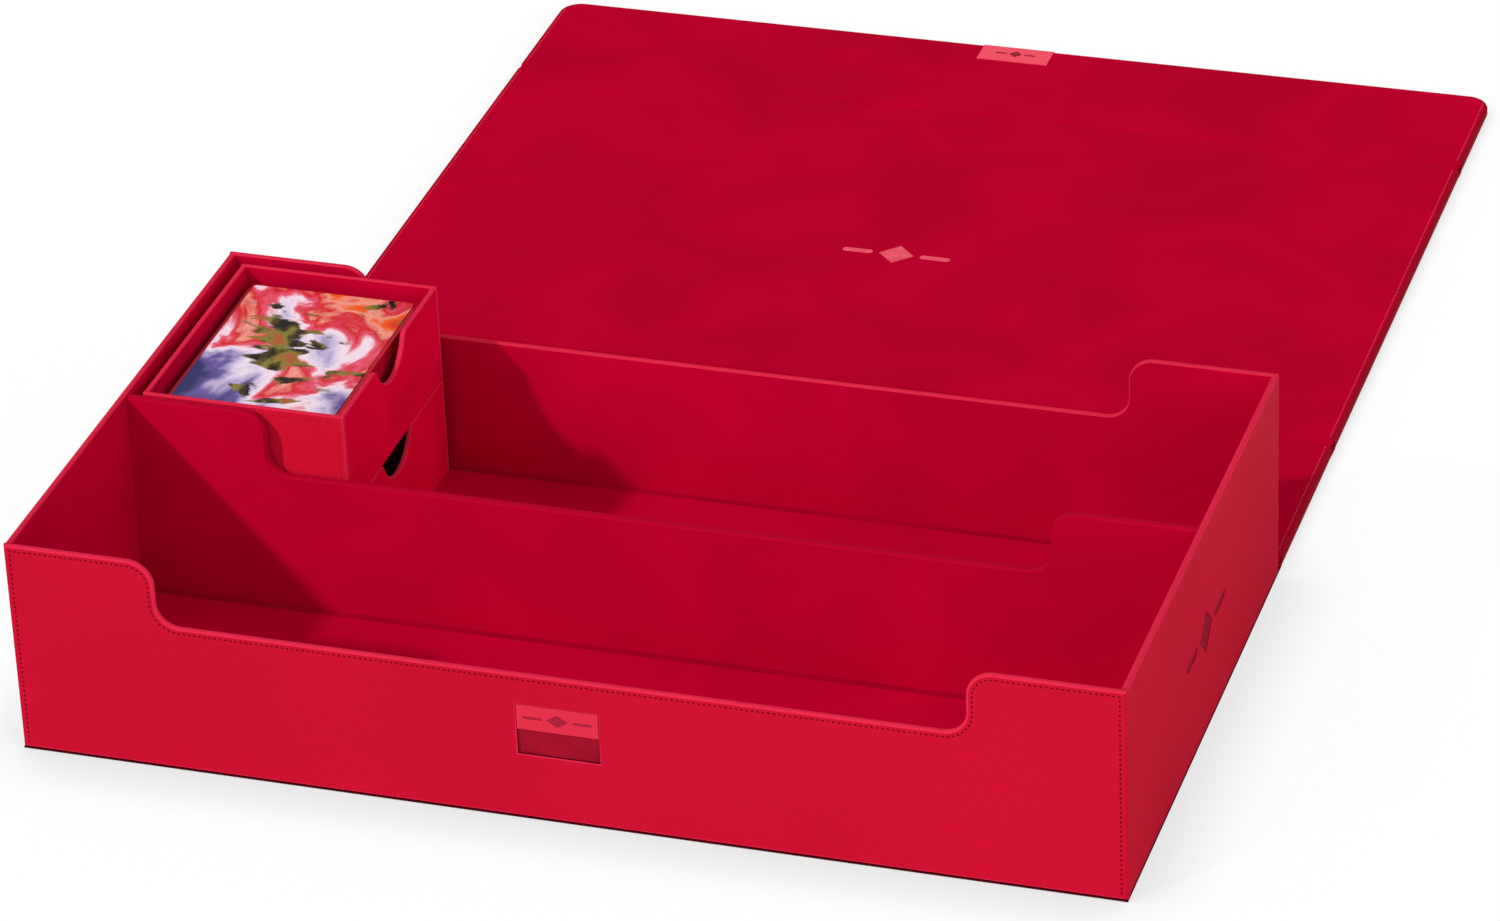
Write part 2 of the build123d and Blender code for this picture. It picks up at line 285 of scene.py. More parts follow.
# %% [markdown]
# ## Finishes
#
# The outside is a fine-grained imitation leather with a matt surface. Its grain is a
# Voronoi cell pattern, because pressed grain is a net of small pebbles with creases
# between them, broken up with noise so that it doesn't look like tiles. The same recipe
# makes the turned edges, where stretching leaves a shallower grain, and the pressed marks.
# The turned edges are painted a lighter red, a painted highlight where the rounded edge
# catches the light. Darker copies are painted shade: the lid's edges, the walls' feet, the
# label's pocket and the divider's edge, which gets more light from above. The trays'
# leather is painted lighter than the case's, as painted light for the shade they stand in.

# %% Leather
LEATHER = (0.50, 0.0050, 0.0265)
# Lighter red for the turned edge: a painted highlight.
TURNED_EDGE_HIGHLIGHT = (0.66, 0.019, 0.058)
# Darker red for the divider's edge: painted shade that offsets the light from above.
DARKENED_INNER_EDGE = (0.45, 0.0015, 0.024)
# The trays' leather is made lighter by this gain: painted light for the shade inside the case.
TRAY_LIGHT_GAIN = 1.42
STRETCHED = 0.03 * MM
GRAIN_PER_METRE = 1300.0
GRAIN_WOBBLE = 0.6 * MM


def leather(name, colour, roughness=0.48, depth=0.05 * MM):
    material, tree, place = new_material(name)
    wobble = add(tree, "ShaderNodeTexNoise", {"Vector": place, "Scale": 420.0, "Detail": 2.0})
    push_by = vectors(tree, "MULTIPLY", wobble.outputs["Color"], (GRAIN_WOBBLE,) * 3)
    grain = {"Vector": vectors(tree, "ADD", place, push_by), "Scale": GRAIN_PER_METRE}
    cells = add(tree, "ShaderNodeTexVoronoi", grain, feature="DISTANCE_TO_EDGE")
    crease = ramp(tree, cells.outputs["Distance"], [(0.0, (0, 0, 0)), (0.22, (1, 1, 1))])
    height = blend_numbers(tree, crease, noise(tree, place, 3200.0), 0.5)
    patches = noise(tree, place, 9.0, 2.0)
    broad = ramp(tree, patches, [(0.3, tint(colour, 0.95)), (0.7, tint(colour, 1.05))])
    shaded = mix_colours(tree, 0.10, broad, crease, "MULTIPLY")
    close_principled(tree, shaded, roughness, 0.004, bump(tree, height, depth, 0.55))
    return material


leather_finish = leather("crimson_leather", LEATHER)
# A painted highlight on the turned edges.
edge_highlight_finish = leather("turned_edge_leather", TURNED_EDGE_HIGHLIGHT, 0.42, STRETCHED)
# Painted shade on the divider's edge.
inner_edge_shade_finish = leather("inner_edge_leather", DARKENED_INNER_EDGE, 0.5, STRETCHED)
# Painted shade on the lid's rounded edges.
lid_edge_shade_finish = leather("lid_edge_leather", (0.30, 0.004, 0.016), 0.5, STRETCHED)
# Near black: a painted shade line along the walls' feet and in the label's pocket.
foot_shade_finish = leather("base_leather", (0.075, 0.001, 0.005), 0.6, STRETCHED)
# Lighter leather for the trays: painted light.
tray_lightened_leather_finish = leather("tray_leather", tint(LEATHER, TRAY_LIGHT_GAIN), depth=0.1 * MM)
# A painted highlight on the trays' rims.
tray_edge_highlight_finish = leather("tray_edge_leather", tint(TURNED_EDGE_HIGHLIGHT, 1.08), 0.42, STRETCHED)
pressed_finish = leather("pressed_mark_leather", (0.26, 0.006, 0.020), 0.5, 0.02 * MM)
print("leather grain:", GRAIN_PER_METRE, "cells per metre")

# %% [markdown]
# The inside is brushed microfibre. What shows most on the real cloth is its nap: where
# fingers have passed, the fibres lie another way and the red turns a little lighter or
# darker in soft clouds. A noise at a few centimetres gives the clouds, a very fine one
# gives the fibres, and a faint sheen gives the bloom at grazing angles. The lid's cloth
# is a little darker, and the trays' a good deal lighter, than the case's. They are one
# cloth, painted as lit and shaded copies: the lid's darker as painted shade, because it
# faces the light from above, the case's a little and the trays' much lighter as painted
# light for the shade inside the case.

# %% Microfibre
# The case's cloth is a little lighter: painted light for the shade inside the case.
MICROFIBRE = (0.545, 0.0002, 0.0290)
# The lid's copy of the cloth is darker: painted shade against the light from above.
LID_DARKENED_MICROFIBRE = (0.49, 0.0002, 0.0228)
CLOUDS_PER_METRE = 16.0
NAP_CONTRAST = 0.11


def microfibre(name, colour, clouds=CLOUDS_PER_METRE):
    material, tree, place = new_material(name)
    drift = noise(tree, place, clouds, 4.0, 0.8)
    nap = ramp(tree, drift, [(0.30, tint(colour, 1 - NAP_CONTRAST)), (0.52, colour),
                             (0.72, tint(colour, 1 + NAP_CONTRAST))])
    fibre = noise(tree, place, 2600.0, 2.0)
    speck = ramp(tree, fibre, [(0.25, (0.90, 0.90, 0.90)), (0.75, (1, 1, 1))])
    shaded = mix_colours(tree, 1.0, nap, speck, "MULTIPLY")
    height = blend_numbers(tree, fibre, noise(tree, place, 700.0), 0.6)
    sheen = {"Sheen Weight": 0.015, "Sheen Roughness": 0.4, "Sheen Tint": (1.0, 0.1, 0.2, 1.0)}
    close_principled(tree, shaded, 0.95, 0.006, bump(tree, height, 0.05 * MM, 0.5), sheen)
    return material


microfibre_finish = microfibre("crimson_microfibre", MICROFIBRE)
lid_darkened_microfibre_finish = microfibre("lid_microfibre", LID_DARKENED_MICROFIBRE)
# The trays' copy is much lighter: painted light for the shade they stand in.
tray_lightened_microfibre_finish = microfibre("tray_microfibre", (0.765, 0.0003, 0.037), 22.0)
# Darker cloth along the floor's edges: painted shade in the corners.
corner_shade_finish = microfibre("pressed_microfibre", tint(MICROFIBRE, 0.70), 30.0)
window_finish = microfibre("window_microfibre", (0.30, 0.006, 0.02), 60.0)
print("microfibre nap clouds:", round(1 / CLOUDS_PER_METRE / MM), "mm")

# %% [markdown]
# The label and the pull tab are woven ribbon. One wave pattern runs along each axis, so
# that warp and weft cross on a ribbon that stands as on one that lies, and added up they
# leave small raised squares. Thread, sleeves, board and metal share a simpler recipe.

# %% Ribbon, thread, board, plastic and metal
RIBS_PER_METRE = 1900.0


def ribbon(name, colour):
    material, tree, place = new_material(name)
    waves = []
    for axis in ("X", "Z", "Y"):
        values = {"Vector": place, "Scale": RIBS_PER_METRE / 20 * math.pi, "Distortion": 0.4}
        wave = add(tree, "ShaderNodeTexWave", values, bands_direction=axis)
        waves.append(wave.outputs["Fac"])
    weave = blend_numbers(tree, waves[0], blend_numbers(tree, waves[1], waves[2], 1.0), 0.7)
    half = numbers(tree, "MULTIPLY", weave, 0.45)
    shaded = ramp(tree, half, [(0.2, tint(colour, 0.86)), (0.8, tint(colour, 1.06))])
    close_principled(tree, shaded, 0.62, 0.15, bump(tree, half, 0.05 * MM, 0.6))
    return material


def speckled(name, dark, light, scale, roughness, metallic=0.0, stretch=(1, 1, 1), coat=0.0,
             specular=0.5):
    """Two colours mixed by a fine noise: thread, board, plastic and metal."""
    material, tree, place = new_material(name)
    drawn = add(tree, "ShaderNodeMapping", {"Vector": place, "Scale": stretch}).outputs[0]
    grain = noise(tree, drawn, scale, 4.0)
    colour = ramp(tree, grain, [(0.3, dark), (0.7, light)])
    more = {"Metallic": metallic, "Coat Weight": coat, "Coat Roughness": 0.15}
    close_principled(tree, colour, roughness, specular, bump(tree, grain, 0.02 * MM, 0.5), more)
    return material


ribbon_finish = ribbon("woven_ribbon", (0.60, 0.016, 0.045))
tab_finish = ribbon("tab_ribbon", (0.90, 0.075, 0.12))


def thread(name, dark, light, roughness):
    return speckled(name, dark, light, 1500.0, roughness, specular=0.03)


# Near black: the thread together with the painted shade of its stitch holes.
thread_and_hole_shade_finish = thread("dark_thread", (0.10, 0.0008, 0.005), (0.17, 0.0014, 0.008), 0.7)
pale_thread_finish = thread("pale_thread", (0.58, 0.030, 0.065), (0.68, 0.055, 0.095), 0.55)
tray_thread_finish = thread("tray_thread", (0.40, 0.004, 0.022), (0.52, 0.010, 0.036), 0.6)
board_finish = speckled("greyboard", (0.36, 0.33, 0.28), (0.46, 0.42, 0.36), 600.0, 0.9)
sleeve_finish = speckled("red_sleeve", (0.40, 0.002, 0.016), (0.50, 0.004, 0.024), 90.0, 0.28,
                         coat=0.08, specular=0.12)
steel_finish = speckled("steel", (0.52, 0.52, 0.54), (0.62, 0.62, 0.64), 900.0, 0.35,
                        metallic=1.0, stretch=(1, 12, 1))
foil_finish = speckled("pressed_foil", (0.74, 0.05, 0.09), (0.86, 0.09, 0.14), 320.0, 0.36,
                       specular=0.2)
label_ink_finish = speckled("label_ink", (0.26, 0.006, 0.024), (0.36, 0.009, 0.032), 900.0, 0.5,
                            specular=0.1)
print("finishes:", len(bpy.data.materials))

# %% [markdown]
# ## Modelling kit
#
# Every wall of the box is a flat board wrapped in leather, so one recipe serves them
# all: draw the outline, round its corners, pull it up into a slab and bevel the edges
# that the leather is turned over. The outline is drawn flat and placed at the end with
# a matrix, so that the finished object itself stays at the origin, unturned.

# %% Modelling helpers
def shift(x=0, y=0, z=0):
    return Matrix.Translation((x, y, z))


STAND = Matrix.Rotation(math.radians(90), 4, "X")
SIDE = Matrix(((0, 0, 1, 0), (1, 0, 0, 0), (0, 1, 0, 0), (0, 0, 0, 1)))
# Two coordinates this close are the same, and a normal past FLAT is along its axis.
NEAR = 0.01 * MM
FLAT = 0.999


def near(first, second):
    return abs(first - second) < NEAR


def rectangle(x0, y0, x1, y1):
    return [(x0, y0), (x1, y0), (x1, y1), (x0, y1)]


def outline(corners):
    """A flat face through a few corners, drawn in the XY plane."""
    bm = bmesh.new()
    bm.faces.new([bm.verts.new((x, y, 0)) for x, y in corners])
    return bm


def round_corners(bm, corners, radius, segments=10):
    """Rounds the outline at the given corners."""
    picked = [min(bm.verts, key=lambda v: (v.co.xy - Vector(c)).length) for c in corners]
    bmesh.ops.bevel(bm, geom=picked, offset=radius, segments=segments, profile=0.5,
                    affect="VERTICES", material=-1)


def push(bm, faces, depth):
    """Extrudes faces along Z."""
    made = bmesh.ops.extrude_face_region(bm, geom=faces)
    moved = [g for g in made["geom"] if isinstance(g, bmesh.types.BMVert)]
    bmesh.ops.translate(bm, verts=moved, vec=(0, 0, depth))


def pull_up(bm, depth):
    """Turns the flat outline into a closed slab between Z = 0 and depth."""
    push(bm, bm.faces[:], depth)
    bmesh.ops.recalc_face_normals(bm, faces=bm.faces[:])


def soften(bm, radius, rule, segments=4):
    """Bevels the edges for which the rule says yes."""
    picked = [e for e in bm.edges if rule(e)]
    bmesh.ops.bevel(bm, geom=picked, offset=radius, segments=segments, profile=0.5,
                    affect="EDGES", material=-1, clamp_overlap=True)


def on_line(edge, x=None, y=None, z=None):
    """Whether an edge lies at the given coordinates from end to end."""
    wanted = [(axis, value) for axis, value in enumerate((x, y, z)) if value is not None]
    return all(near(v.co[axis], value) for v in edge.verts for axis, value in wanted)


def on_either(edge, first, second):
    """Whether an edge lies on one of the slab's two levels."""
    return on_line(edge, z=first) or on_line(edge, z=second)


def finish_piece(bm, name, body, finishes, place=Matrix.Identity(4), stands_for=(),
                 smooth_deg=40):
    """Makes the object, gives it its finishes and body, and prints its size."""
    bmesh.ops.transform(bm, matrix=place, verts=bm.verts[:])
    mesh = bpy.data.meshes.new(name)
    bm.to_mesh(mesh)
    bm.free()
    for finish in finishes:
        mesh.materials.append(finish)
    mesh.shade_smooth()
    mesh.set_sharp_from_angle(angle=math.radians(smooth_deg))
    piece = add_object(name, mesh)
    weighted = piece.modifiers.new("flat_faces", "WEIGHTED_NORMAL")
    weighted.keep_sharp = True
    if body:
        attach(piece, body)
    if stands_for:
        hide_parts(*stands_for)
    size = [round(d / MM, 1) for d in piece.dimensions]
    print(f"{name}: {size} mm, {len(mesh.polygons)} faces")
    return piece


def add_to(whole, part):
    """Moves a finished part's mesh into a larger one."""
    scratch = bpy.data.meshes.new("scratch")
    part.to_mesh(scratch)
    part.free()
    whole.from_mesh(scratch)
    bpy.data.meshes.remove(scratch)


def span(*nodes):
    """The lowest and highest corner of several CAD nodes together."""
    boxes = [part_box(n) for n in nodes]
    low = Vector([min(b[0][i] for b in boxes) for i in range(3)])
    high = Vector([max(b[1][i] for b in boxes) for i in range(3)])
    return low, high


print("modelling helpers ready")

# %% [markdown]
# ## The case's walls
#
# The front wall is high at both ends and lowered in the middle, with a soft S between.
# Drawn as eight corners, its crests and feet are rounded flat and then the whole outline
# is pulled up to the wall's thickness. The turned-over leather is the bevel along the
# top; it gets a lighter finish of its own, a painted highlight where the rounded edge
# catches the light, and the foot a near-black one, a painted shade line under the wall.

# %% Sizes of the walls
case_low, case_high = span("front_skin", "rear_skin", "left_skin", "right_skin", "front_rim")
inner_low, inner_high = span("floor_linings")
HALF_W = case_high.x
HALF_D = case_high.y
TOP = case_high.z
FOOT = case_low.z
RIM_T = 0.6 * MM
LOW_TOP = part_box("front_rim")[0].z + RIM_T
STEP_X = HALF_W - 55.0 * MM
CREST_R = 9.5 * MM
FOOT_R = 8.5 * MM
LINING_PROUD = 0.1 * MM
WALL_T = HALF_D - inner_high.y - LINING_PROUD
TURN_R = 0.85 * MM
FOOT_SHADE = 0.5 * MM
END_BAND = 0.9 * MM
TOP_BAND = 1.5 * MM
WALL_FINISHES = [leather_finish, edge_highlight_finish, foot_shade_finish]
print("walls:", round(WALL_T / MM, 2), "mm thick, lowered to", round(LOW_TOP / MM, 1), "mm")


def scallop(half, foot, top, dip, step, crest_r, foot_r):
    """The outline of a lowered wall, in XZ but drawn flat."""
    corners = [(-half, foot), (-half, top), (-step, top), (-step, dip),
               (step, dip), (step, top), (half, top), (half, foot)]
    bm = outline(corners)
    round_corners(bm, [(-step, top), (step, top)], crest_r)
    round_corners(bm, [(-step, dip), (step, dip)], foot_r)
    return bm


def wrapped(outer):
    """The rule for a wall's edges: all round on the outside, only the top inside."""
    def rule(edge):
        at_end = on_line(edge, x=HALF_W) or on_line(edge, x=-HALF_W)
        inside_top = on_line(edge, z=WALL_T - outer) and not on_line(edge, y=FOOT) and not at_end
        return on_line(edge, z=outer) or inside_top
    return rule


def paint_edge_and_foot_lighting(bm, foot, half=None, dark=2):
    """Second finish, painted light or shade, on the turned edge; third, painted shade, on the
    foot; with half, not on the ends.
    """
    for face in bm.faces:
        middle = face.calc_center_median()
        if abs(face.normal.z) > FLAT:
            continue
        end = half is not None and half - abs(middle.x) < END_BAND and middle.y < TOP - TOP_BAND
        if middle.y < foot + FOOT_SHADE:
            face.material_index = dark
        elif not end:
            face.material_index = 1


def scallop_wall(outer):
    """A lowered wall whose outer side lies at the given level of the slab."""
    bm = scallop(HALF_W, FOOT, TOP, LOW_TOP, STEP_X, CREST_R, FOOT_R)
    pull_up(bm, WALL_T)
    soften(bm, TURN_R, wrapped(outer))
    paint_edge_and_foot_lighting(bm, FOOT, HALF_W)
    return bm


def press_in(bm, x0, x1, z0, z1, level, depth, radius):
    """Cuts a rectangle out of the slab's outer side and presses it in."""
    def within(middle, margin):
        return x0 - margin < middle.x < x1 + margin and z0 - margin < middle.y < z1 + margin

    cuts = [((x, 0, 0), (1, 0, 0)) for x in (x0, x1)] + [((0, z, 0), (0, 1, 0)) for z in (z0, z1)]
    for point, normal in cuts:
        faces = [f for f in bm.faces if all(near(v.co.z, level) for v in f.verts)]
        edges = list({e for f in faces for e in f.edges})
        verts = list({v for f in faces for v in f.verts})
        bmesh.ops.bisect_plane(bm, geom=faces + edges + verts, plane_co=point, plane_no=normal,
                               dist=NEAR)
    pressed = [f for f in bm.faces if all(near(v.co.z, level) for v in f.verts)
               and within(f.calc_center_median(), 0)]
    push(bm, pressed, -depth)
    bmesh.ops.delete(bm, geom=[f for f in pressed if f.is_valid], context="FACES_ONLY")
    soften(bm, radius, lambda e: on_line(e, z=level)
           and within((e.verts[0].co + e.verts[1].co) / 2, NEAR), 3)
    # The pocket's side walls get the near-black finish, painted shade, and its rounded brink the
    # lighter one, a painted highlight.
    for face in bm.faces:
        middle = face.calc_center_median()
        if within(middle, radius) and level - depth + NEAR < middle.z < level - NEAR:
            face.material_index = 2 if abs(face.normal.z) < NEAR else 1


# %% Front wall
label_low, label_high = span("front_label", "window_panel")
window_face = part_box("window_panel")[0].y
RECESS_CLEAR = 0.05 * MM
RECESS_DEPTH = window_face + HALF_D + RECESS_CLEAR
RECESS_R = 0.35 * MM

front = scallop_wall(WALL_T)
press_in(front, label_low.x, label_high.x, label_low.z, label_high.z, WALL_T, RECESS_DEPTH,
         RECESS_R)
FRONT_PLACE = shift(y=WALL_T - HALF_D) @ STAND
finish_piece(front, "front_wall_cover", "case", WALL_FINISHES, FRONT_PLACE,
             ["front_skin", "front_board", "front_rim"])

# %% Rear wall
REAR_PLACE = shift(y=HALF_D) @ STAND
finish_piece(scallop_wall(0), "rear_wall_cover", "case", WALL_FINISHES, REAR_PLACE,
             ["rear_skin", "rear_board", "rear_rim"])

# %% [markdown]
# ## End walls and the pressed mark
#
# The end walls are plain boards between the front and the rear wall. The mark on the
# right one is pressed in with a hot plate: a diamond between two bars. The shape is cut
# out of the cover with a Boolean, because a pressed edge is sharp and the cut goes
# through no corner; the mark's own darker floor is the CAD node that lies in it.

# %% The mark
DIAMOND_SHARE = 0.32
BAR_LENGTH_SHARE = 0.28
BAR_WIDTH_SHARE = 0.065
ALMOST_HALF = 0.499


def mark_solids(width, thickness):
    """A diamond between two round-ended bars, lying on Z = 0."""
    whole = bmesh.new()
    reach = width * DIAMOND_SHARE / 2
    bar_l, bar_w = width * BAR_LENGTH_SHARE, width * BAR_WIDTH_SHARE
    parts = [(outline([(reach, 0), (0, reach), (-reach, 0), (0, -reach)]), 0.0)]
    for side in (-1, 1):
        ends = rectangle(-bar_l / 2, -bar_w / 2, bar_l / 2, bar_w / 2)
        bar = outline(ends)
        round_corners(bar, ends, bar_w * ALMOST_HALF, 6)
        parts.append((bar, side * (width - bar_l) / 2))
    for part, aside in parts:
        pull_up(part, thickness)
        bmesh.ops.translate(part, verts=part.verts[:], vec=(aside, 0, 0))
        add_to(whole, part)
    return whole


def cut_out(bm, cutter_bm):
    """Subtracts one closed shape from another and gives the result back."""
    holders = []
    for name, source in (("cut_this", bm), ("cutter", cutter_bm)):
        mesh = bpy.data.meshes.new(name)
        source.to_mesh(mesh)
        source.free()
        holders.append(add_object(name, mesh))
    cut = holders[0].modifiers.new("cut", "BOOLEAN")
    cut.operation = "DIFFERENCE"
    cut.solver = "EXACT"
    cut.object = holders[1]
    bpy.context.view_layer.update()
    evaluated = holders[0].evaluated_get(bpy.context.evaluated_depsgraph_get())
    result = bpy.data.meshes.new_from_object(evaluated)
    for holder in holders:
        bpy.data.objects.remove(holder)
    fresh = bmesh.new()
    fresh.from_mesh(result)
    return fresh


# %% Left and right walls
END_HALF = HALF_D - WALL_T


def end_wall(outer):
    """A plain end board, drawn in YZ, with its leather turned over the top."""
    corners = [(-END_HALF, FOOT), (-END_HALF, TOP), (END_HALF, TOP), (END_HALF, FOOT)]
    bm = outline(corners)
    pull_up(bm, WALL_T)
    soften(bm, TURN_R, lambda e: on_line(e, y=FOOT, z=outer) or on_line(e, y=TOP, z=0)
           or on_line(e, y=TOP, z=WALL_T))
    # The top's turned faces get the painted highlight, the foot the painted shade line.
    for face in bm.faces:
        if face.normal.y > 0.05:
            face.material_index = 1
        elif face.calc_center_median().y < FOOT + FOOT_SHADE:
            face.material_index = 2
    return bm


finish_piece(end_wall(0), "left_wall_cover", "case", WALL_FINISHES, shift(x=-HALF_W) @ SIDE,
             ["left_skin", "left_board", "left_rim"])

mark_low, mark_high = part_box("side_emblem")
MARK_CLEAR = 0.04 * MM
MARK_DEPTH = HALF_W - mark_high.x + MARK_CLEAR
side_mark = mark_solids(mark_high.y - mark_low.y, 2 * MM)
mark_middle = (mark_low.z + mark_high.z) / 2
bmesh.ops.translate(side_mark, verts=side_mark.verts[:], vec=(0, mark_middle, WALL_T - MARK_DEPTH))
right = cut_out(end_wall(WALL_T), side_mark)
finish_piece(right, "right_wall_cover", "case", WALL_FINISHES,
             shift(x=HALF_W - WALL_T) @ SIDE, ["right_skin", "right_board", "right_rim"])

# %% [markdown]
# ## Divider
#
# The divider is thicker than the walls and clad with microfibre on both sides. Only
# the turned leather edge shows between the two, so this piece is the board with that
# edge, and the CAD linings lie on it. The edge is painted darker than the cloth, as
# painted shade that offsets the light it gets from above.

# %% Divider
divider_low, divider_high = span("divider_board", "divider_rim", "divider_front_lining",
                                 "divider_rear_lining")
DIVIDER_TOP = divider_high.z
DIVIDER_T = divider_high.y - divider_low.y - 2 * LINING_PROUD
DIVIDER_LOW = DIVIDER_TOP - (TOP - LOW_TOP)
DIVIDER_FOOT = FOOT + 2 * MM
DIVIDER_TURN_R = 1.3 * MM

divider = scallop(divider_high.x, DIVIDER_FOOT, DIVIDER_TOP, DIVIDER_LOW, STEP_X, CREST_R, FOOT_R)
pull_up(divider, DIVIDER_T)
soften(divider, DIVIDER_TURN_R, lambda e: on_either(e, DIVIDER_T, 0)
       and not on_line(e, y=DIVIDER_FOOT)
       and not on_line(e, x=divider_high.x) and not on_line(e, x=-divider_high.x))
# The turned edge gets the darker finish: painted shade against the light from above.
paint_edge_and_foot_lighting(divider, DIVIDER_FOOT, dark=0)
finish_piece(divider, "divider_cover", "case", [leather_finish, inner_edge_shade_finish],
             shift(y=DIVIDER_T / 2) @ STAND, ["divider_board", "divider_rim"])

# %% [markdown]
# ## Painted corner shade
#
# Where the floor cloth meets the walls, shade gathers in the corner. Each row gets one flat
# frame of darker cloth there, a painted shade: the row's outline is inset, the middle is
# thrown away and the rest is pulled up a hair.

# %% Painted corner shade
SHADE_STRIP_WIDTH = 3.0 * MM
SHADE_STRIP_RISE = 0.05 * MM
FLOOR_TOP = inner_high.z
row_front = (inner_low.y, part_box("divider_front_lining")[0].y)
row_rear = (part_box("divider_rear_lining")[1].y, inner_high.y)
for name, (y0, y1) in (("front_row_seam", row_front), ("rear_row_seam", row_rear)):
    seam = outline(rectangle(inner_low.x, y0, inner_high.x, y1))
    seam.normal_update()
    middle = seam.faces[:]
    bmesh.ops.inset_region(seam, faces=middle, thickness=SHADE_STRIP_WIDTH, use_even_offset=True,
                           use_boundary=True)
    bmesh.ops.delete(seam, geom=middle, context="FACES")
    pull_up(seam, SHADE_STRIP_RISE)
    finish_piece(seam, name, "case", [corner_shade_finish], shift(z=FLOOR_TOP))

# %% [markdown]
# ## Label
#
# The woven label fills the upper half of the pocket in the front wall; the lower half is
# a window with dark cloth at its back. The label is a thin rounded plate, a hair below
# the leather, and carries the same mark as the side, woven darker.

# %% Front label
LABEL_T = 0.95 * MM
LABEL_R = 0.2 * MM
LABEL_GAP = 0.15 * MM
LABEL_FACE = -HALF_D + 0.1 * MM
LABEL_MARK = 25 * MM
MARK_SQUASH = 0.6
WOVEN_T = 0.12 * MM
ribbon_low, ribbon_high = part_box("front_label")
label = outline(rectangle(ribbon_low.x + LABEL_GAP, ribbon_low.z,
                          ribbon_high.x - LABEL_GAP, ribbon_high.z - LABEL_GAP))
pull_up(label, LABEL_T)
soften(label, LABEL_R, lambda e: on_line(e, z=LABEL_T), 3)
finish_piece(label, "woven_label", "case", [ribbon_finish],
             shift(y=LABEL_FACE + LABEL_T) @ STAND, ["front_label"])

label_middle = (ribbon_low.z + ribbon_high.z) / 2
mark_place = shift(y=LABEL_FACE + WOVEN_T / 2, z=label_middle) @ STAND
finish_piece(mark_solids(LABEL_MARK, WOVEN_T), "label_mark", "case", [label_ink_finish],
             mark_place @ Matrix.Diagonal((1, MARK_SQUASH, 1, 1)))

# %% [markdown]
# ## Lid
#
# Each panel of the lid is a board in leather with a microfibre face. The leather is a
# slab with a rounded lower edge; the microfibre is a second, thin slab whose rounded
# upper edge gives the lid its soft brim. Only the flap has round corners. The sides of
# the slab and of the brim get a dark finish, painted shade where the edge turns away
# from the light.

# %% Lid sizes
fold_y = {}
for joint in frame["joints"]:
    if joint["type"] == "hinge":
        fold_y[joint["name"]] = joint["pos_m"][1]
FOLD_1, FOLD_2, FOLD_3 = (fold_y[n] for n in ("lid_back_fold", "lid_top_fold", "lid_flap_fold"))
LID_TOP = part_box("lid_top_lining")[1].z
LID_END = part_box("flap_skin")[1].y
SPINE_HALF = 1.0 * MM
SHELL_R = 0.5 * MM
NAP_T = 1.6 * MM
NAP_SUNK = 0.2 * MM
NAP_IN = 0.15 * MM
BRIM_R = 1.4 * MM
FOLD_BRIM_R = 0.35 * MM
LID_CORNER_R = 9.0 * MM
BARE_T = 0.6 * MM
print("folds at", [round(y / MM, 1) for y in (FOLD_1, FOLD_2, FOLD_3)], "mm")
print("lid ends at", round(LID_END / MM, 1), "mm")


def lid_slab(y0, y1, half, thickness, far_radius=0):
    """A flat slab of the lid, its two far corners rounded if asked."""
    corners = rectangle(-half, y0, half, y1)
    bm = outline(corners)
    if far_radius:
        round_corners(bm, corners[2:], far_radius, 12)
    pull_up(bm, thickness)
    return bm


def lid_panel(body, part, round_far=False):
    """The leather slab and the microfibre face of one panel."""
    nodes = {kind: f"{part}_{kind}" for kind in ("skin", "board", "lining")}
    board_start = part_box(nodes["board"])[0].y
    board_stop = LID_END if round_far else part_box(nodes["board"])[1].y
    radius = LID_CORNER_R if round_far else 0
    shell = lid_slab(board_start, board_stop, HALF_W, LID_TOP - NAP_T + NAP_SUNK, radius)

    def at_fold(edge):
        return on_line(edge, y=board_start) or (on_line(edge, y=board_stop) and not round_far)

    soften(shell, SHELL_R, lambda e: on_line(e, z=0) and not at_fold(e), 3)
    # The slab's sides get the dark finish: painted shade.
    for polygon in shell.faces:
        if abs(polygon.normal.z) < 0.5:
            polygon.material_index = 1
    finish_piece(shell, body + "_leather", body, [leather_finish, lid_edge_shade_finish],
                 stands_for=[nodes["skin"], nodes["board"]])
    face = lid_slab(board_start, board_stop, HALF_W - NAP_IN, NAP_T, radius)
    soften(face, BRIM_R, lambda e: on_line(e, z=NAP_T) and not at_fold(e), 5)
    soften(face, FOLD_BRIM_R, lambda e: on_line(e, z=NAP_T) and at_fold(e), 3)
    bmesh.ops.remove_doubles(face, verts=face.verts[:], dist=NEAR)
    # The brim gets the dark finish too: painted shade where it turns away from the light.
    for polygon in face.faces:
        if polygon.normal.z < 0.9 and abs(polygon.normal.y) < FLAT:
            polygon.material_index = 1
    finish_piece(face, body + "_microfibre", body, [lid_darkened_microfibre_finish, lid_edge_shade_finish],
                 shift(z=LID_TOP - NAP_T), [nodes["lining"]])


def web(name, y0, y1, body):
    """The bare leather between a board and its fold."""
    bm = lid_slab(y0, y1, HALF_W, BARE_T)
    finish_piece(bm, name, body, [leather_finish])


# %% Lid panels
lid_panel("lid_back", "lid_back")
lid_panel("lid_top", "lid_top")
lid_panel("lid_flap", "flap", round_far=True)
web("lid_back_web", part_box("lid_back_board")[1].y, FOLD_2 - SPINE_HALF, "lid_back")
web("lid_top_web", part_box("lid_top_board")[1].y, FOLD_3 - SPINE_HALF, "lid_top")

# The base shows only as a thin band at the foot, painted near black as a shade line.
base = lid_slab(-HALF_D, FOLD_1 - SPINE_HALF, HALF_W, BARE_T)
finish_piece(base, "base_leather", "case", [foot_shade_finish], stands_for=["base_skin"])

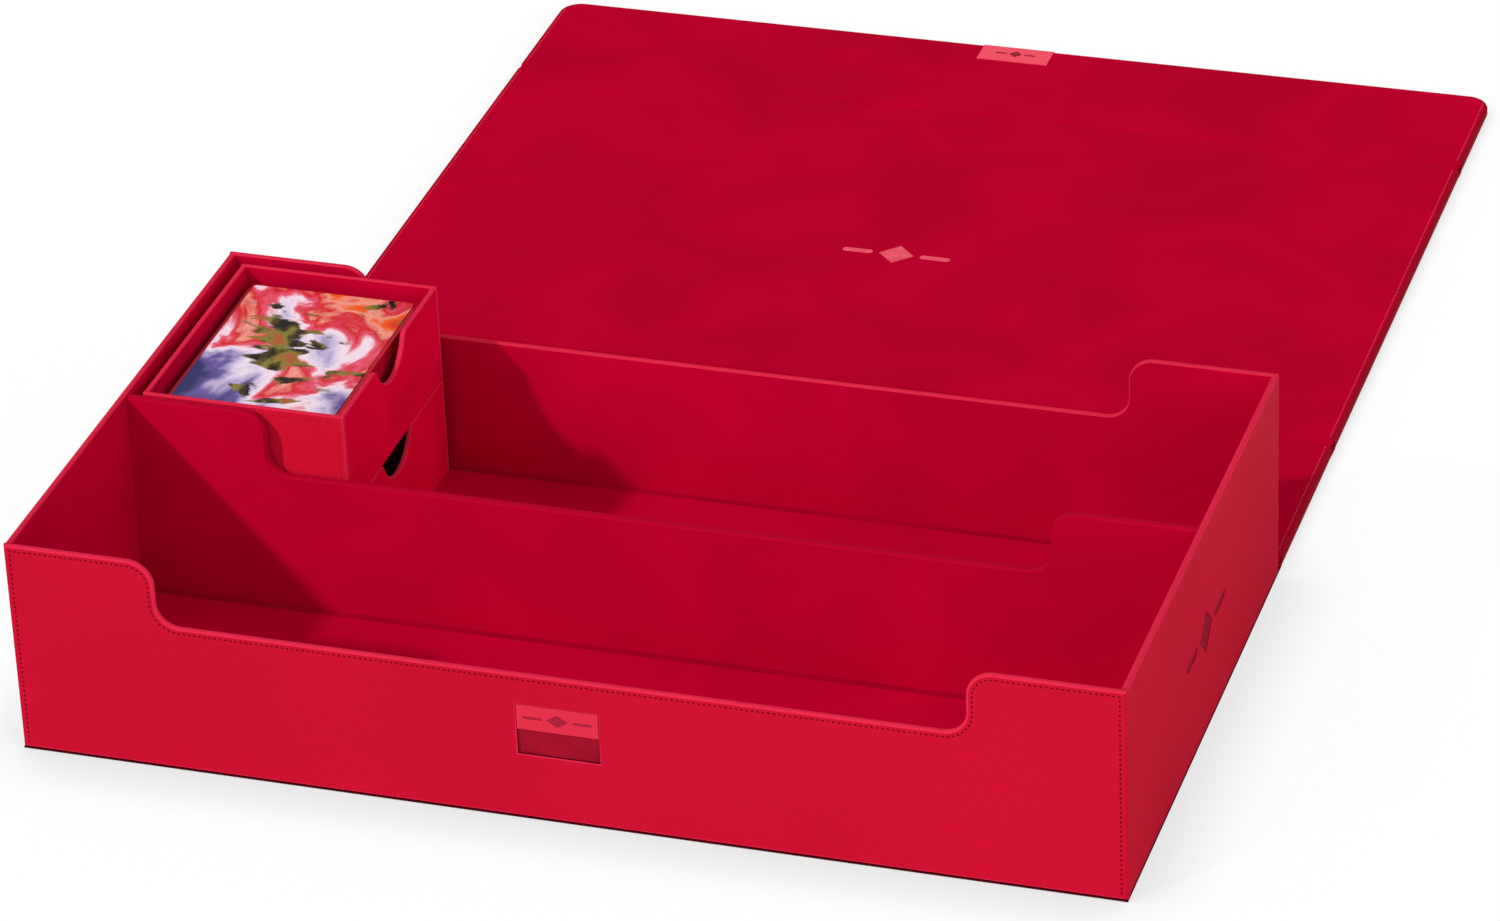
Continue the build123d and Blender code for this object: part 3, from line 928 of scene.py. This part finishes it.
# %% [markdown]
# ## Folds
#
# Between two panels the covering is free to bend. Outside it is a narrow strip of
# leather, inside a strip of microfibre that is pressed into the gap as a shallow groove.
# Both cross a joint, so they are left on no body instead of riding on one.
# They need rows of points across the fold, so they start as grids.

# %% Fold strips
FOLDS = (("back_fold", FOLD_1, "case", "lid_back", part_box("lid_back_board")[0].y),
         ("top_fold", FOLD_2, "lid_back", "lid_top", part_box("lid_top_board")[0].y),
         ("flap_fold", FOLD_3, "lid_top", "lid_flap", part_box("flap_board")[0].y))
GROOVE_DEPTH = 0.5 * MM
CASE_GROOVE_SHARE = 0.35
CASE_STRIP_Z = 1.2 * MM
STRIP_SUNK = 0.3 * MM
STRIP_IN = 0.7 * MM
STRIP_T = 0.35 * MM
TUCK = 1.1 * MM


def strip(y0, y1, half, rows, height):
    """A grid across a fold, lifted to a profile and facing up."""
    bm = bmesh.new()
    bmesh.ops.create_grid(bm, x_segments=2, y_segments=rows, size=0.5)
    bmesh.ops.scale(bm, vec=(2 * half, y1 - y0, 1), verts=bm.verts[:])
    bmesh.ops.translate(bm, vec=(0, (y0 + y1) / 2, 0), verts=bm.verts[:])
    for vert in bm.verts:
        vert.co.z = height(vert.co.y)
    bmesh.ops.recalc_face_normals(bm, faces=bm.faces[:])
    if bm.faces[:][0].normal.z < 0:
        bmesh.ops.reverse_faces(bm, faces=bm.faces[:])
    return bm


def thicken(bm, thickness):
    """Gives a sheet a second side below it and closes its rim."""
    bmesh.ops.solidify(bm, geom=bm.faces[:], thickness=thickness)
    bmesh.ops.recalc_face_normals(bm, faces=bm.faces[:])


for name, fold, body_a, body_b, far_edge in FOLDS:
    spine = strip(fold - SPINE_HALF, fold + SPINE_HALF, HALF_W, 8, lambda y: BARE_T)
    thicken(spine, BARE_T)
    spine_piece = finish_piece(spine, name + "_leather", None, [leather_finish])
    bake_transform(spine_piece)

    at_case = body_a == "case"
    near_edge = HALF_D if at_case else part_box(body_a + "_board")[1].y
    last_z = LID_TOP - STRIP_SUNK
    first_z = CASE_STRIP_Z if at_case else last_z
    depth = GROOVE_DEPTH * (CASE_GROOVE_SHARE if at_case else 1.0)
    from_y = near_edge if at_case else near_edge - TUCK
    to_y = far_edge + TUCK

    def groove(y):
        t = (y - from_y) / (to_y - from_y)
        level = first_z + (last_z - first_z) * (t * t * (3 - 2 * t))
        return level - depth * math.sin(math.pi * t)

    lining = strip(from_y, to_y, HALF_W - STRIP_IN, 18, groove)
    thicken(lining, STRIP_T)
    lining_piece = finish_piece(lining, name + "_microfibre", None, [lid_darkened_microfibre_finish])
    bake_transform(lining_piece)

# %% [markdown]
# ## Card trays
#
# A tray is built like the case, only smaller: a leather front and back, and two sides of
# microfibre with a leather rim. Its right side has a thumb notch. The notch is part of
# the side's outline: one point is spun round the notch's centre, the arc it leaves is
# closed with the four corners, and the two lips are rounded. Two trays are made by the
# same code, because they are the same product.

# %% Tray parts
TRAY_TURN_R = 0.5 * MM
NOTCH_R = 15.5 * MM
NOTCH_RISE = 4.0 * MM
NOTCH_LIP = 2.4 * MM
NOTCH_ZONE = 20 * MM
RIM_FOOT = 1 * MM
TRAY_LINING_T = 0.3 * MM


def notched_outline(y0, y1, foot, top, centre):
    """A side wall's outline with its thumb notch, in YZ but drawn flat."""
    bm = bmesh.new()
    half = math.sqrt(NOTCH_R ** 2 - NOTCH_RISE ** 2)
    lip = bm.verts.new((centre - half, top, 0))
    sweep = 2 * math.asin(half / NOTCH_R)
    bmesh.ops.spin(bm, geom=[lip], cent=(centre, top + NOTCH_RISE, 0), axis=(0, 0, 1),
                   dvec=(0, 0, 0), angle=sweep, steps=15, use_merge=False)
    ring = sorted(bm.verts, key=lambda v: v.co.x)
    ring += [bm.verts.new((x, y, 0)) for x, y in ((y1, top), (y1, foot), (y0, foot), (y0, top))]
    bm.faces.new(ring)
    round_corners(bm, [(centre - half, top), (centre + half, top)], NOTCH_LIP, 5)
    return bm


def paint_rim_highlight_and_sides(bm, foot, top, sides):
    """Painted highlight on the turned rim, and the asked finish on the two flat sides."""
    for face in bm.faces:
        middle = face.calc_center_median()
        low_end = abs(face.normal.x) > FLAT and middle.y < top - NOTCH_ZONE
        if abs(face.normal.z) > FLAT:
            face.material_index = sides
        elif middle.y > foot + RIM_FOOT and not low_end:
            face.material_index = 1


def tray(name):
    """Front, rear, left and right board and the base of one tray."""
    low, high = span(name + "_skin", name + "_rim")
    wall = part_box(name + "_lining")[0].x - low.x + TRAY_LINING_T
    finishes = [tray_lightened_leather_finish, tray_edge_highlight_finish, tray_lightened_microfibre_finish]
    x0, x1, y0, y1, foot, top = low.x, high.x, low.y, high.y, low.z, high.z

    for side, y_place, outer in (("front", y0 + wall, wall), ("rear", y1, 0)):
        bm = outline([(x0, foot), (x0, top), (x1, top), (x1, foot)])
        pull_up(bm, wall)
        soften(bm, TRAY_TURN_R, lambda e: on_either(e, 0, wall) and not on_line(e, y=foot)
               and (on_line(e, z=outer) or on_line(e, y=top)), 3)
        paint_rim_highlight_and_sides(bm, foot, top, 0)
        finish_piece(bm, f"{name}_{side}_cover", name, finishes, shift(y=y_place) @ STAND,
                     [name + "_ends"] if side == "front" else ())

    inner0, inner1 = y0 + wall, y1 - wall
    left = outline([(inner0, foot), (inner0, top), (inner1, top), (inner1, foot)])
    right = notched_outline(inner0, inner1, foot, top, (y0 + y1) / 2)
    for side, bm, x_place in (("left", left, x0), ("right", right, x1 - wall)):
        pull_up(bm, wall)
        soften(bm, TRAY_TURN_R, lambda e: on_either(e, 0, wall) and not on_line(e, y=foot)
               and not on_line(e, x=inner0) and not on_line(e, x=inner1), 3)
        paint_rim_highlight_and_sides(bm, foot, top, 2)
        stands_for = [f"{name}_{side}_side"]
        if side == "left":
            stands_for += [name + "_skin", name + "_rim"]
        finish_piece(bm, f"{name}_{side}_cover", name, finishes, shift(x=x_place) @ SIDE,
                     stands_for)

    base = outline(rectangle(x0 + wall, inner0, x1 - wall, inner1))
    pull_up(base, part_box(name + "_floor")[1].z - foot)
    finish_piece(base, name + "_base", name, [tray_lightened_leather_finish], shift(z=foot),
                 [name + "_floor"])


tray("lower_tray")
tray("upper_tray")

# %% [markdown]
# ## Deck
#
# A sleeved deck never stacks perfectly: each sleeve lies a few tenths of a millimetre
# off its neighbour, and that is what makes the side of a deck look like cards and not
# like a block. The random draws are seeded, so every run gives the same deck.

# %% Sleeves
SLEEVES = 44
SLEEVE_SLIP = 0.22 * MM
SLEEVE_SHARE = 0.86
SLEEVE_CORNER_R = 0.9 * MM
deck_low, deck_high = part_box("sleeved_cards")
pitch = (deck_high.z - deck_low.z) / SLEEVES
draw = random.Random(7)
stack = bmesh.new()
thickness = pitch * SLEEVE_SHARE
corners = rectangle(deck_low.x, deck_low.y, deck_high.x, deck_high.y)
for number in range(SLEEVES):
    sleeve = outline(corners)
    round_corners(sleeve, corners, SLEEVE_CORNER_R, 2)
    pull_up(sleeve, thickness)
    above = SLEEVES - 1 - number
    slip = [draw.uniform(-1, 1) * SLEEVE_SLIP for axis in "xy"] if above else (0, 0)
    lift = deck_high.z - thickness - above * pitch
    bmesh.ops.translate(sleeve, verts=sleeve.verts[:], vec=(*slip, lift))
    add_to(stack, sleeve)
finish_piece(stack, "sleeve_stack", "deck", [sleeve_finish], stands_for=["sleeved_cards"])

# %% [markdown]
# ## Card picture
#
# The top card shows an abstract watercolour, made from nodes only. A distorted noise,
# pushed a little from corner to corner, runs through violet, white, rose and orange like
# wet pigment. Over it lie a few dark brush strokes: a stretched noise, cut hard and kept
# to the card's middle.

# %% Card
card_low, card_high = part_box("top_card")
card_middle = (card_low + card_high) / 2
card_half = (card_high - card_low) / 2


def watercolour():
    material, tree, place = new_material("abstract_watercolour")
    centred = vectors(tree, "SUBTRACT", place, tuple(card_middle))
    unit = vectors(tree, "MULTIPLY", centred, (1 / card_half.x, 1 / card_half.y, 0))
    axes = add(tree, "ShaderNodeSeparateXYZ", {"Vector": unit}).outputs
    wash = noise(tree, unit, 1.15, 6.0, 0.55)
    along = numbers(tree, "MULTIPLY", axes["Y"], 0.11)
    across = numbers(tree, "MULTIPLY_ADD", axes["X"], 0.08, along)
    flow = numbers(tree, "ADD", wash, across)
    stops = [(0.28, (0.03, 0.03, 0.13)), (0.36, (0.15, 0.10, 0.33)), (0.43, (0.68, 0.56, 0.78)),
             (0.48, (0.92, 0.76, 0.84)), (0.52, (0.80, 0.10, 0.17)), (0.57, (0.66, 0.008, 0.018)),
             (0.62, (0.88, 0.34, 0.26)), (0.66, (0.86, 0.11, 0.012)), (0.74, (0.78, 0.03, 0.006))]
    pigment = ramp(tree, flow, stops)
    turn = {"Vector": unit, "Rotation": (0, 0, 0.7), "Scale": (1.2, 3.6, 1)}
    turned = add(tree, "ShaderNodeMapping", turn).outputs[0]
    strokes = noise(tree, turned, 1.15, 6.0, 0.7)
    reach = vectors(tree, "MULTIPLY", unit, (1.5, 1.15, 0))
    length = add(tree, "ShaderNodeVectorMath", {0: reach}, operation="LENGTH")
    middle = map_range(tree, length.outputs["Value"], 1.05, 0.1, 0.0, 0.21)
    mask = map_range(tree, numbers(tree, "ADD", strokes, middle), 0.60, 0.64)
    ink = ramp(tree, noise(tree, unit, 3.4, 6.0),
               [(0.40, (0.012, 0.008, 0.004)), (0.47, (0.08, 0.045, 0.012)),
                (0.54, (0.22, 0.20, 0.03)), (0.62, (0.40, 0.10, 0.03))])
    painted = mix_colours(tree, mask, pigment, ink)
    paper = bump(tree, noise(tree, place, 1800.0), 0.01 * MM, 0.2)
    coat = {"Coat Weight": 0.06, "Coat Roughness": 0.1}
    close_principled(tree, painted, 0.4, 0.12, paper, coat)
    return material


CARD_CORNER_R = 1.2 * MM
card_corners = rectangle(card_low.x, card_low.y, card_high.x, card_high.y)
card = outline(card_corners)
round_corners(card, card_corners, CARD_CORNER_R, 4)
pull_up(card, card_high.z - card_low.z)
finish_piece(card, "picture_card", "deck", [watercolour()], shift(z=card_low.z),
             ["top_card"])

# %% [markdown]
# ## Pull tab
#
# The tab is one strip of ribbon folded over the flap's edge. Its side view is a letter
# C, so it is drawn as that C, rounded at the fold and pulled to the ribbon's width.

# %% Tab
tab_low, tab_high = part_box("flap_tab")
TAB_T = 0.5 * MM
TAB_PROUD = 0.3 * MM
UNDER_Z = -0.15 * MM
BEND_R = 1.3 * MM
INNER_BEND_R = 0.8 * MM
TAB_REACH = 0.2 * MM
TAB_MARK = 17 * MM
near_y, reach_y, over_z = tab_low.y, LID_END + TAB_REACH, LID_TOP + TAB_PROUD
tab_corners = [(near_y, UNDER_Z), (reach_y, UNDER_Z), (reach_y, over_z), (near_y, over_z),
               (near_y, over_z - TAB_T), (reach_y - TAB_T, over_z - TAB_T),
               (reach_y - TAB_T, UNDER_Z + TAB_T), (near_y, UNDER_Z + TAB_T)]
tab = outline(tab_corners)
round_corners(tab, tab_corners[1:3], BEND_R, 6)
round_corners(tab, tab_corners[5:7], INNER_BEND_R, 6)
pull_up(tab, tab_high.x - tab_low.x)
finish_piece(tab, "pull_tab", "lid_flap", [tab_finish], shift(x=tab_low.x) @ SIDE,
             ["flap_tab"])
tab_middle = (near_y + LID_END) / 2
finish_piece(mark_solids(TAB_MARK, WOVEN_T), "tab_mark", "lid_flap", [label_ink_finish],
             shift(y=tab_middle, z=over_z - WOVEN_T / 2))

# %% [markdown]
# ## Stitching
#
# Thread is geometry here, because at this size a bump would vanish. One stitch is a
# flattened ball of two dozen faces, and a walk along a line lays one down at every
# pitch, turned the way the line runs. The lines themselves are the walls' own outlines
# drawn a few millimetres smaller, so that the seam keeps its distance round the S. A
# stitch stands only 0.15 mm proud, because the closed lid passes 0.4 mm from the case.

# %% Stitches
STITCH_PITCH = 1.9 * MM
STITCH_LENGTH = 1.15 * MM
STITCH_WIDTH = 0.7 * MM
STITCH_RISE = 0.15 * MM
STITCH_SIDES = 6
STITCH_RINGS = 4


def ring_points(bm, first, second):
    """The outline's points in order, from one corner towards a second one."""
    points = [loop.vert.co.copy() for loop in bm.faces[:][0].loops]
    bm.free()
    start = min(range(len(points)), key=lambda i: (points[i].xy - Vector(first)).length)
    points = points[start:] + points[:start]
    if (points[-1].xy - Vector(second)).length < (points[1].xy - Vector(second)).length:
        points = points[:1] + points[:0:-1]
    return points


def sew(name, body, runs, place, finish):
    """Lays stitches along each run of points; one object for all of them."""
    bm = bmesh.new()
    for points in runs:
        travelled, wanted = 0.0, STITCH_PITCH / 2
        for start, stop in zip(points, points[1:]):
            length = (stop - start).length
            while length > 0 and wanted <= travelled + length:
                spot = start.lerp(stop, (wanted - travelled) / length)
                turn = Matrix.Rotation(math.atan2(stop.y - start.y, stop.x - start.x), 4, "Z")
                shape = Matrix.Diagonal((STITCH_LENGTH / 2, STITCH_WIDTH / 2, STITCH_RISE, 1))
                bmesh.ops.create_uvsphere(bm, u_segments=STITCH_SIDES, v_segments=STITCH_RINGS,
                                          radius=1, matrix=Matrix.Translation(spot) @ turn @ shape)
                wanted += STITCH_PITCH
            travelled += length
    print(len(bm.faces) // (STITCH_SIDES * STITCH_RINGS), "stitches in", name)
    finish_piece(bm, name, body, [finish], place, smooth_deg=180)


SEAM_IN = 2.1 * MM
SEAM_END_IN = 2.2 * MM
SEAM_FOOT = FOOT + 1.5 * MM


def scallop_seam():
    half = HALF_W - SEAM_END_IN
    bm = scallop(half, SEAM_FOOT, TOP - SEAM_IN, LOW_TOP - SEAM_IN, STEP_X + SEAM_IN,
                 CREST_R - SEAM_IN, FOOT_R + SEAM_IN)
    return ring_points(bm, (-half, SEAM_FOOT), (-half, TOP - SEAM_IN))


LIFT = shift(z=WALL_T)
# The front and rear stitches are near black, thread and painted shade of the holes in one.
sew("front_stitches", "case", [scallop_seam()], FRONT_PLACE @ LIFT, thread_and_hole_shade_finish)
sew("rear_stitches", "case", [scallop_seam()], REAR_PLACE, thread_and_hole_shade_finish)

# %% Lid and tray stitches
LID_SEAM_X = HALF_W - SEAM_END_IN
SEAM_STOP = 1 * MM
FLAP_STOP = 7 * MM
TRAY_SEAM_IN = 2.4 * MM
for part, body in (("lid_back", "lid_back"), ("lid_top", "lid_top"), ("flap", "lid_flap")):
    low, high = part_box(part + "_board")
    y0, y1 = low.y + SEAM_STOP, high.y - (FLAP_STOP if part == "flap" else SEAM_STOP)
    runs = [[Vector((x, y0, 0)), Vector((x, y1, 0))] for x in (-LID_SEAM_X, LID_SEAM_X)]
    sew(part + "_stitches", body, runs, shift(z=LID_TOP), pale_thread_finish)

for name in ("lower_tray", "upper_tray"):
    low, high = span(name + "_skin", name + "_rim")
    x0, x1, top = low.x + TRAY_SEAM_IN, high.x - TRAY_SEAM_IN, high.z - TRAY_SEAM_IN
    foot = low.z + SEAM_STOP
    frame_points = [Vector((x, y, 0)) for x, y in ((x0, foot), (x0, top), (x1, top), (x1, foot))]
    for side, y in (("front", low.y), ("rear", high.y)):
        sew(f"{name}_{side}_stitches", name, [frame_points], shift(y=y) @ STAND,
            tray_thread_finish)

# %% [markdown]
# ## Finishes for the CAD pieces that stay
#
# Linings, pressed marks and hidden parts are already the right shape. They only get a
# finish, looked up by a word in their name. Whatever isn't listed is leather.

# %% Finish the CAD pieces
BY_NAME = (("lining", microfibre_finish), ("side_emblem", pressed_finish),
           ("lid_emblem", foil_finish), ("window_panel", window_finish),
           ("plates", steel_finish), ("magnets", steel_finish), ("base_board", board_finish))
for name, node in sorted(frame["nodes"].items()):
    finish = next((f for key, f in BY_NAME if key in name), leather_finish)
    node.data.materials.clear()
    node.data.materials.append(finish)
shown = [n for n, o in frame["nodes"].items() if not o.hide_render]
print(len(shown), "CAD nodes still show:", sorted(shown))
